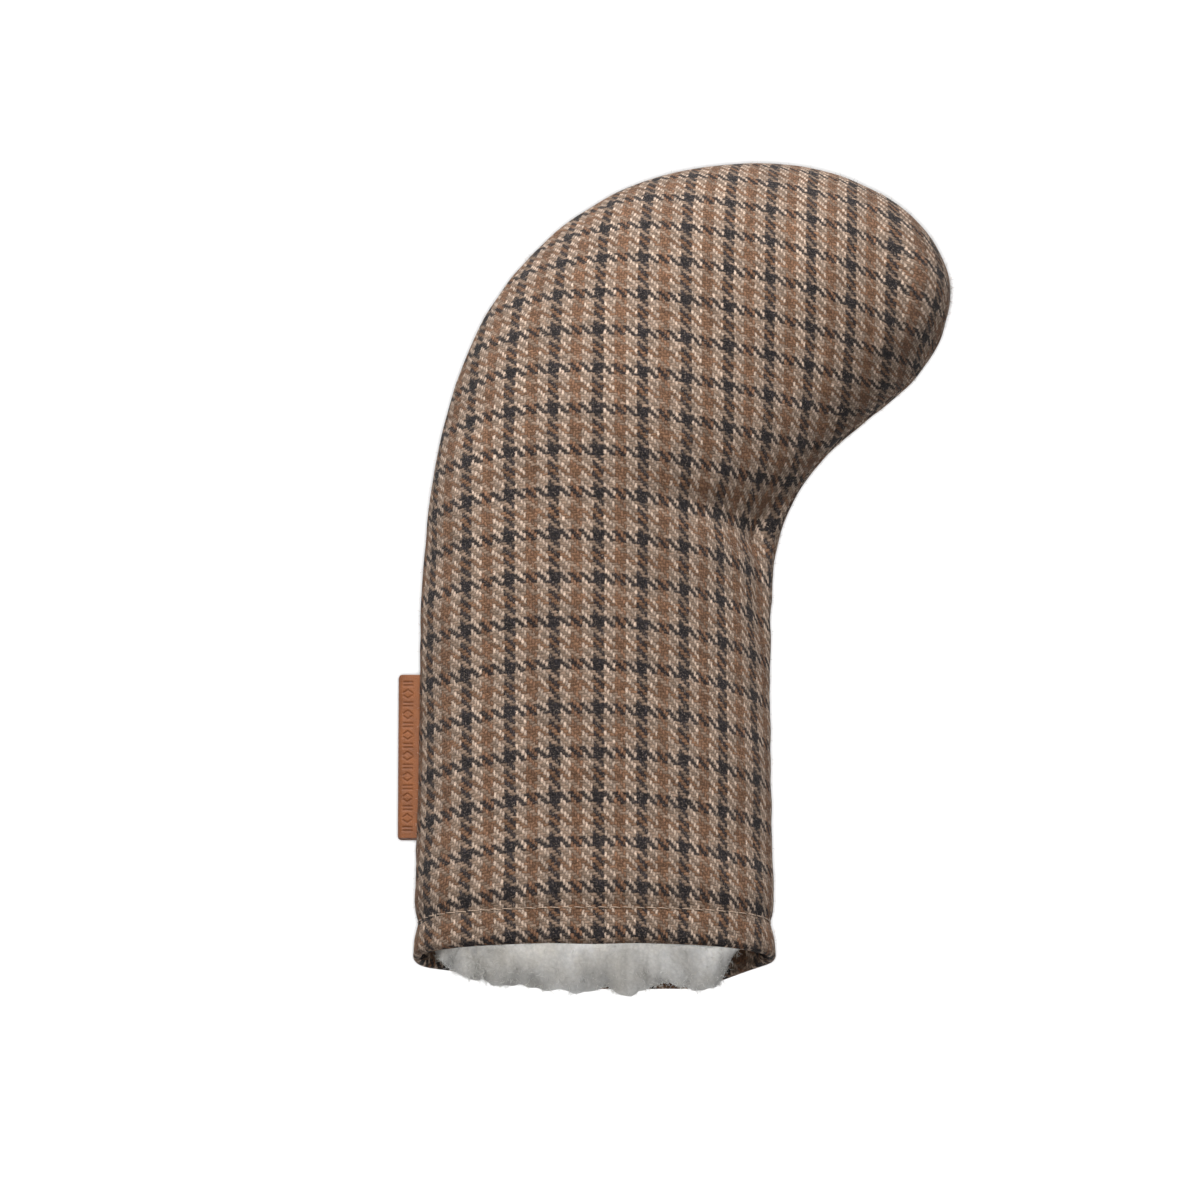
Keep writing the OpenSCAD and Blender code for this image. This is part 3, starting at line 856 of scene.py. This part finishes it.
def tweed_material():
    """Gun-club check in 2/2 twill. The map Threads counts yarns across and along the cloth."""
    s = Shader("tweed", 0.9, Sheen_Weight=0.03, Sheen_Roughness=0.6, Specular_IOR_Level=0.1)
    uv = s.node("ShaderNodeUVMap", uv_map="Threads").outputs[0]
    fuzz = s.noise(uv, 2.6, 3.0, 0.7, output="Color")
    sway = s.noise(uv, 0.8, 1.0, output="Color")
    drift = s.noise(uv, 0.11, 1.0, output="Color")
    spot = uv
    for wander, amount in ((fuzz, 1.3), (sway, 0.9), (drift, 1.5)):
        centred = s.vector_math("SUBTRACT", wander, (0.5, 0.5, 0.5))
        spot = s.vector_math("MULTIPLY_ADD", centred, (amount, amount, 0), spot)
    parts = s.node("ShaderNodeSeparateXYZ", {"Vector": spot})
    u, v = parts.outputs[0], parts.outputs[1]
    warp, weft = s.math("FLOOR", u), s.math("FLOOR", v)

    def yarn(across, run, other, number, below, hues, shade):
        """Colour and height of one set of yarns where it floats on top. below is how many yarns its floats
        are set back, and shade its tone from the painted shade at its edges to the painted light on top."""
        group = s.math("FLOOR", s.math("DIVIDE", s.math("FLOORED_MODULO", s.plus(number, 2.0), 16.0), 4.0))
        dark = s.math("LESS_THAN", group, 0.5)
        brown = s.math("COMPARE", group, 2.0, 0.25)
        hue = s.mix(brown, s.mix(dark, hues[1], hues[0]), hues[2])
        amount = s.spread(s.dice("1D", {"W": s.plus(number, below)}), 0.84, 1.14)
        streak = s.noise(s.vector(s.times(number, 7.3), s.times(run, 0.55), below), 1.0, 2.0)
        amount = s.times(amount, s.spread(streak, 0.62, 1.40))
        hair = s.noise(s.vector(s.times(across, 2.6), run, below), 1.0, 4.0, 0.72)
        amount = s.times(amount, s.spread(hair, 0.10, 1.90))
        steps = s.math("SUBTRACT", s.plus(run, other), below)
        float_number = s.math("FLOOR", s.math("DIVIDE", steps, 4.0))
        own = s.dice("3D", {"Vector": s.vector(number, float_number, below)})
        amount = s.times(amount, s.spread(own, 0.72, 1.30))
        heather = s.times(s.math("GREATER_THAN", hair, 0.58), s.spread(dark, 0.42, 0.72))
        hue = s.mix(heather, s.scaled(hue, amount), (0.23, 0.175, 0.140))
        round_across = s.math("SINE", s.times(s.math("FRACT", across), math.pi))
        ahead = s.math("MINIMUM", s.math("FLOORED_MODULO", steps, 4.0), 2.0)
        round_along = s.math("MAXIMUM", s.math("SINE", s.times(ahead, math.pi / 2)), 0.0)
        height = s.times(s.math("POWER", round_across, 0.85), s.math("POWER", round_along, 0.75))
        twist = s.math("SINE", s.times(s.plus(across, s.times(run, 1.3)), 2.2 * math.tau))
        height = s.math("MAXIMUM", s.math("MULTIPLY_ADD", twist, 0.10, height), 0.0)
        # painted shade: each yarn darker at its edges and where its floats dip under, lighter on top
        return s.scaled(hue, s.spread(s.math("MINIMUM", height, 1.0), *shade)), height

    warp_hue, warp_height = yarn(u, v, warp, warp, 0.0, WARP_YARNS, (0.42, 1.36))
    weft_hue, weft_height = yarn(v, u, weft, weft, 2.0, WEFT_YARNS, (0.52, 1.12))
    warp_up = s.math("LESS_THAN", s.math("FLOORED_MODULO", s.plus(warp, weft), 4.0), 1.5)
    stray = s.spread(s.noise(uv, 5.0, 3.0, 0.7), -0.40, 0.56)
    share = s.math("ABSOLUTE", s.math("SUBTRACT", warp_up, s.math("MAXIMUM", stray, 0.04)))
    hue = s.mix(share, weft_hue, warp_hue)
    heights = {0: warp_up, 2: weft_height, 3: warp_height}
    height = s.node("ShaderNodeMix", heights, data_type="FLOAT").outputs[0]
    cloth_tone = s.noise(s.place(), 28.0, 3.0)
    hue = s.scaled(hue, s.spread(cloth_tone, 0.86, 1.14))
    nap = s.noise(uv, 3.4, 4.0, 0.7)
    bumps = s.bump(nap, 0.00012, 0.6)
    bumps = s.bump(height, 0.00030, 0.85, bumps)
    return s.finish(hue, bumps, s.spread(nap, 0.82, 1.0))


def fleece_material():
    """Off-white sherpa pile: matted lumps and curls, creamy in patches, with painted shade in the creases
    between lumps and towards its rolled end, and painted light on the lumps' tops.
    """
    s = Shader("fleece", 1.0, Sheen_Weight=0.2, Sheen_Roughness=0.7, Specular_IOR_Level=0.15)
    s.surface.inputs["Subsurface Weight"].default_value = 0.15
    s.surface.inputs["Subsurface Radius"].default_value = (0.003, 0.0027, 0.0022)
    here = s.place()
    clump = s.noise(here, 190.0, 4.0, 0.6)
    curls = s.cells(here, 900.0)
    hairs = s.noise(here, 2600.0, 4.0, 0.75)
    tone = s.mix(clump, (0.86, 0.83, 0.785), (0.93, 0.935, 0.94))
    patch = s.times(s.spread(s.noise(here, 75.0), -1.5, 2.5), 0.45)
    tone = s.mix(s.math("MAXIMUM", patch, 0.0), tone, (0.82, 0.77, 0.685))
    tone = s.scaled(tone, s.spread(hairs, 0.80, 1.16))
    tone = s.scaled(tone, s.spread(curls, 1.06, 0.86))
    # painted shade in the creases between lumps, painted light on their tops
    tone = s.scaled(tone, s.spread(s.mark("LumpShade"), 0.64, 1.15))
    # painted shade towards the pile's rolled end
    tone = s.scaled(tone, s.spread(s.mark("FringeShade"), 1.08, 0.45))
    bumps = s.bump(hairs, 0.0004, 0.35)
    bumps = s.bump(curls, 0.0007, 0.25, bumps)
    bumps = s.bump(clump, 0.0022, 0.4, bumps)
    return s.finish(tone, bumps, s.spread(hairs, 0.88, 1.0))


def fibre_material(name, low, high, sheen=0.3):
    """Loose hairs, each with its own tone."""
    s = Shader(name, 0.85, Sheen_Weight=sheen, Sheen_Roughness=0.5, Specular_IOR_Level=0.2)
    tone = s.mix(s.mark("Tint"), low, high)
    grain = s.noise(s.place(), 4000.0, 2.0)
    tone = s.scaled(tone, s.spread(grain, 0.85, 1.15))
    return s.finish(tone, s.bump(grain, 0.00004, 0.5), s.spread(grain, 0.75, 0.95))


def thread_material(name, low, high):
    """Sewing thread: two plies twisted together."""
    s = Shader(name, 0.55, Sheen_Weight=0.2, Sheen_Roughness=0.5, Specular_IOR_Level=0.4)
    uv = s.node("ShaderNodeUVMap", uv_map="Threads").outputs[0]
    parts = s.node("ShaderNodeSeparateXYZ", {"Vector": uv})
    wound = s.plus(s.times(parts.outputs[0], 1.35), s.times(parts.outputs[1], 2.0))
    ply = s.math("ABSOLUTE", s.math("SINE", s.times(wound, math.pi)))
    worn = s.noise(s.place(), 600.0, 3.0)
    # painted shade: darker in the grooves between the plies
    tone = s.scaled(s.mix(worn, low, high), s.spread(ply, 0.55, 1.12))
    return s.finish(tone, s.bump(ply, 0.00009, 0.8), s.spread(worn, 0.5, 0.75))


def tack_thread_material(name, low, high):
    """The same thread on the CAD's own tack stitches, which have no map of their own."""
    s = Shader(name, 0.6, Sheen_Weight=0.2, Sheen_Roughness=0.5, Specular_IOR_Level=0.4)
    here = s.place()
    inputs = {"Vector": here, "Scale": 190.0, "Distortion": 1.5, "Detail": 1.0}
    ply = s.node("ShaderNodeTexWave", inputs, bands_direction="DIAGONAL").outputs["Fac"]
    worn = s.noise(here, 700.0, 3.0)
    # painted shade: darker in the grooves between the plies
    tone = s.scaled(s.mix(worn, low, high), s.spread(ply, 0.6, 1.1))
    return s.finish(tone, s.bump(ply, 0.0001, 0.8), s.spread(worn, 0.5, 0.75))


def wadding_material():
    """Bonded polyester wadding: matt, with a web of fine fibres."""
    s = Shader("wadding", 0.95, Sheen_Weight=0.3, Sheen_Roughness=0.6, Specular_IOR_Level=0.2)
    here = s.place()
    stretch = {"Vector": here, "Scale": (400.0, 2200.0, 900.0), "Rotation": (0.2, 0.1, 0.6)}
    web = s.noise(s.node("ShaderNodeMapping", stretch).outputs[0], 1.0, 4.0, 0.7)
    tuft = s.noise(here, 130.0, 3.0)
    tone = s.scaled(s.mix(tuft, (0.66, 0.63, 0.56), (0.82, 0.80, 0.74)), s.spread(web, 0.82, 1.12))
    bumps = s.bump(tuft, 0.0012, 0.5, s.bump(web, 0.0002, 0.6))
    return s.finish(tone, bumps, s.spread(web, 0.85, 1.0))


def leather_material():
    """Tan leather with pores and wrinkles, darker where it is stamped and along its cut edges, with painted
    shade along the outer curve of its fold.
    """
    s = Shader("leather", 0.6, Specular_IOR_Level=0.3, Coat_Weight=0.05, Coat_Roughness=0.4)
    here = s.place()
    mottle = s.noise(here, 210.0, 4.0, 0.6)
    pores = s.cells(here, 2600.0, "DISTANCE_TO_EDGE")
    grain = s.noise(here, 3200.0, 3.0, 0.65)
    tone = s.mix(mottle, (0.096, 0.029, 0.007), (0.255, 0.083, 0.022))
    tone = s.scaled(tone, s.spread(grain, 0.72, 1.28))
    tone = s.mix(s.times(s.mark("Pressed"), 0.4), tone, (0.08, 0.03, 0.016))
    # darker along the cut edges, with painted shade along the fold's outer curve
    tone = s.mix(s.times(s.mark("DarkEdgeAndFoldShade"), 0.35), tone, (0.16, 0.06, 0.03))
    creases = s.math("MINIMUM", s.times(pores, 6.0), 1.0)
    bumps = s.bump(grain, 0.00005, 0.6)
    bumps = s.bump(creases, 0.00008, 0.7, bumps)
    return s.finish(tone, bumps, s.spread(mottle, 0.42, 0.66))


def dress(obj, material):
    obj.data.materials.clear()
    obj.data.materials.append(material)


# ---------------------------------------------------------------- the pieces

tweed = tweed_material()
fleece = fleece_material()
thread = thread_material("thread", (0.27, 0.185, 0.125), (0.46, 0.34, 0.25))

tweed_front, front_surface = tweed_panel("tweed_front", 1)
tweed_back, back_surface = tweed_panel("tweed_back", -1)
for panel, nodes in ((tweed_front, ("shell_front", "seam_allowance")), (tweed_back, ("shell_back",))):
    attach(panel, "cover")
    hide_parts(*nodes)
    dress(panel, tweed)

wadding = wadding_material()
for side, word in ((1, "front"), (-1, "back")):
    pad = wadding_pad(f"wadding_{word}", side)
    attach(pad, "cover")
    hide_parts(f"padding_{word}")
    dress(pad, wadding)

piles, pile_surfaces = [], []
for side, word in ((1, "front"), (-1, "back")):
    pile, surface = pile_lining(f"fleece_{word}", side)
    piles.append(pile)
    pile_surfaces.append(surface)
    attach(pile, "cover")
    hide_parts(f"lining_{word}")
    dress(pile, fleece)

stitches = topstitches("hem_stitches", (front_surface, back_surface))
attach(stitches, "cover")
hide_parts("hem_topstitch")
dress(stitches, thread)


def beside_closing_seam(side, station, turn):
    surface = front_surface if side > 0 else back_surface
    return on_panel(surface, station, turn, -0.25)


def beside_lining_seam(side, station, turn):
    return skin([station], [turn], side, PILE_DEPTH - 1.2)[0, 0]


undyed_thread = thread_material("undyed_thread", (0.56, 0.54, 0.48), (0.78, 0.77, 0.72))
for name, node, first_y, beside, colour in (
    ("seam_stitches", "closing_seam", 3.0, beside_closing_seam, thread),
    ("lining_stitches", "lining_seam", 16.0, beside_lining_seam, undyed_thread),
):
    seam = seam_stitches(name, first_y, beside)
    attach(seam, "cover")
    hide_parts(node)
    dress(seam, colour)


def more_at_rim(points):
    return 0.2 + 0.8 * hump(points[..., 1], 5)


def everywhere(points):
    return np.full(points.shape[:2], 0.5)


wisps = fibres("fleece_wisps", pile_surfaces, 3200, (0.8, 2.4), 0.07, 3.0, 21, more_at_rim)
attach(wisps, "cover")
dress(wisps, fibre_material("fleece_hair", (0.66, 0.64, 0.58), (0.86, 0.86, 0.84)))

nap = fibres("tweed_nap", (front_surface, back_surface), 5000, (0.5, 1.5), 0.035, 2.0, 22, everywhere)
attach(nap, "cover")
dress(nap, fibre_material("tweed_hair", (0.05, 0.04, 0.04), (0.62, 0.48, 0.36)))

tag = leather_tag("leather_tag")
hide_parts("tag_flap", "tag_root")
dress(tag, leather_material())

tack_thread = tack_thread_material("tack_thread", (0.34, 0.23, 0.15), (0.58, 0.43, 0.31))
dress(frame["nodes"]["tag_tack"], tack_thread)

# ---------------------------------------------------------------- floor, light and camera

floor_lines = np.linspace(-2500, 2500, 9)
floor_points = np.array([(x, y, 0.0) for y in floor_lines for x in floor_lines]) + CENTRE
floor = mesh_object("floor", floor_points, grid_faces(9, 9))
paper = Shader("paper", 0.9, Specular_IOR_Level=0.1)
grain = paper.noise(paper.place(), 60.0, 3.0)
pale = paper.mix(grain, (0.90, 0.90, 0.90), (0.93, 0.93, 0.93))
floor.data.materials.append(paper.finish(pale, paper.bump(grain, 0.0001, 0.1)))

world = bpy.data.worlds.new("studio")
world.use_nodes = True
sky = world.node_tree.nodes["Background"]
sky.inputs["Color"].default_value = (1.0, 1.0, 1.0, 1.0)
sky.inputs["Strength"].default_value = 0.14
scene.world = world

aim = Vector(place([1.56, 104.0, SEAM_HEIGHT]))


def area_light(name, offset, size, power, state, pieces):
    """A round lamp aimed at the cover. It lights only these pieces, or with EXCLUDE all but these."""
    data = bpy.data.lights.new(name, "AREA")
    data.shape = "DISK"
    data.size = size
    data.energy = power
    lamp = bpy.data.objects.new(name, data)
    scene.collection.objects.link(lamp)
    lamp.location = aim + Vector(offset)
    lamp.rotation_mode = "QUATERNION"
    lamp.rotation_quaternion = (-Vector(offset)).to_track_quat("-Z", "Y")
    receivers = bpy.data.collections.new(f"receivers_of_{name}")
    for piece in pieces:
        receivers.objects.link(piece)
    for entry in receivers.collection_objects:
        entry.light_linking.link_state = state
    lamp.light_linking.receiver_collection = receivers


area_light("key", (-0.056, 0.459, 0.655), 0.4, 14.0, "EXCLUDE", [floor])
area_light("fill", (0.1, -0.4, 1.5), 1.4, 4.0, "EXCLUDE", [floor])
area_light("floor_wash", (0.0, -0.538, 2.207), 0.2, 56.0, "INCLUDE", [floor])
area_light("wide_wash", (0.0, -0.2, 1.6), 2.2, 6.0, "INCLUDE", [floor])
area_light("mouth_light", (-0.50, -0.42, 1.25), 0.22, 8.8, "INCLUDE", [*piles, wisps])

VIEW_HEIGHT = math.radians(76.3)
VIEW_DISTANCE = 2.272
camera = bpy.data.objects.new("camera", bpy.data.cameras.new("camera"))
scene.collection.objects.link(camera)
camera.data.lens = 240.0
camera.data.sensor_width = 36.0
camera.data.clip_start, camera.data.clip_end = 0.05, 20.0
back_way = Vector((0, -math.cos(VIEW_HEIGHT), math.sin(VIEW_HEIGHT)))
camera.location = aim + VIEW_DISTANCE * back_way
camera.rotation_mode = "QUATERNION"
camera.rotation_quaternion = (-back_way).to_track_quat("-Z", "Y")
scene.camera = camera

scene.view_settings.view_transform = "Standard"
scene.view_settings.look = "None"
